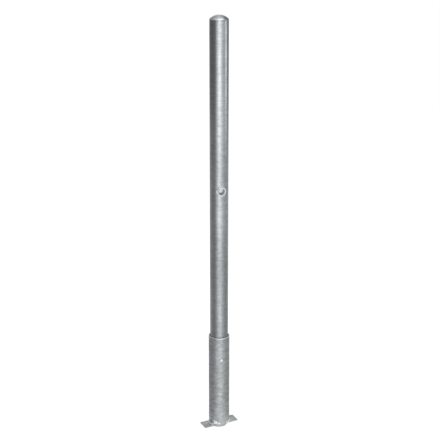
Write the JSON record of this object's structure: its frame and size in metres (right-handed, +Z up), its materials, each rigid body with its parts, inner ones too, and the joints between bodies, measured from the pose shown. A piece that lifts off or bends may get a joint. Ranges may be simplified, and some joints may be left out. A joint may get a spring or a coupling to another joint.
{
  "type": "removable bollard with ground socket",
  "caption": "Round galvanised steel post with a dished cap and a key lock, standing on a cross pin in a welded tube socket that is cast into the ground.",
  "frame": {"origin": "on the post's axis, at the underside of the flat bar under the ground socket", "axes": "+Z up along the post, -Y out of the key lock; the cross pin lies along Y"},
  "size_m": [0.1306, 0.073, 1.4],
  "materials": {
    "galvanised_post": "hot-dip galvanised, semi-gloss, drawn along the tube",
    "galvanised_socket": "hot-dip galvanised, matt, mottled",
    "galvanised_weld": "hot-dip galvanised over a weld bead, lumpy",
    "galvanised_lock": "hot-dip galvanised over a turned face",
    "plated_spindle": "zinc plated, satin"
  },
  "bodies": {
    "ground_socket": {"foot_bar": "galvanised_socket", "foot_weld_left": "galvanised_weld", "foot_weld_right": "galvanised_weld", "socket_tube": "galvanised_socket", "cross_pin": "galvanised_socket", "pin_weld_front": "galvanised_weld", "pin_weld_back": "galvanised_weld"},
    "post": {"post_tube": "galvanised_post", "post_cap": "galvanised_post", "cap_weld": "galvanised_weld", "lock_barrel": "galvanised_lock", "barrel_weld": "galvanised_weld"},
    "key_lock": {"key_spindle": "plated_spindle", "spindle_nut": "plated_spindle"}
  },
  "joints": [
    {"name": "post_lift", "type": "slide", "parent": "ground_socket", "child": "post", "axis": [0, 0, 1], "range_m": [0, 0.3]},
    {"name": "key_turn", "type": "hinge", "parent": "post", "child": "key_lock", "pos_m": [0, -0.02, 0.842], "axis": [0, 1, 0], "range_deg": [0, 90]}
  ]
}
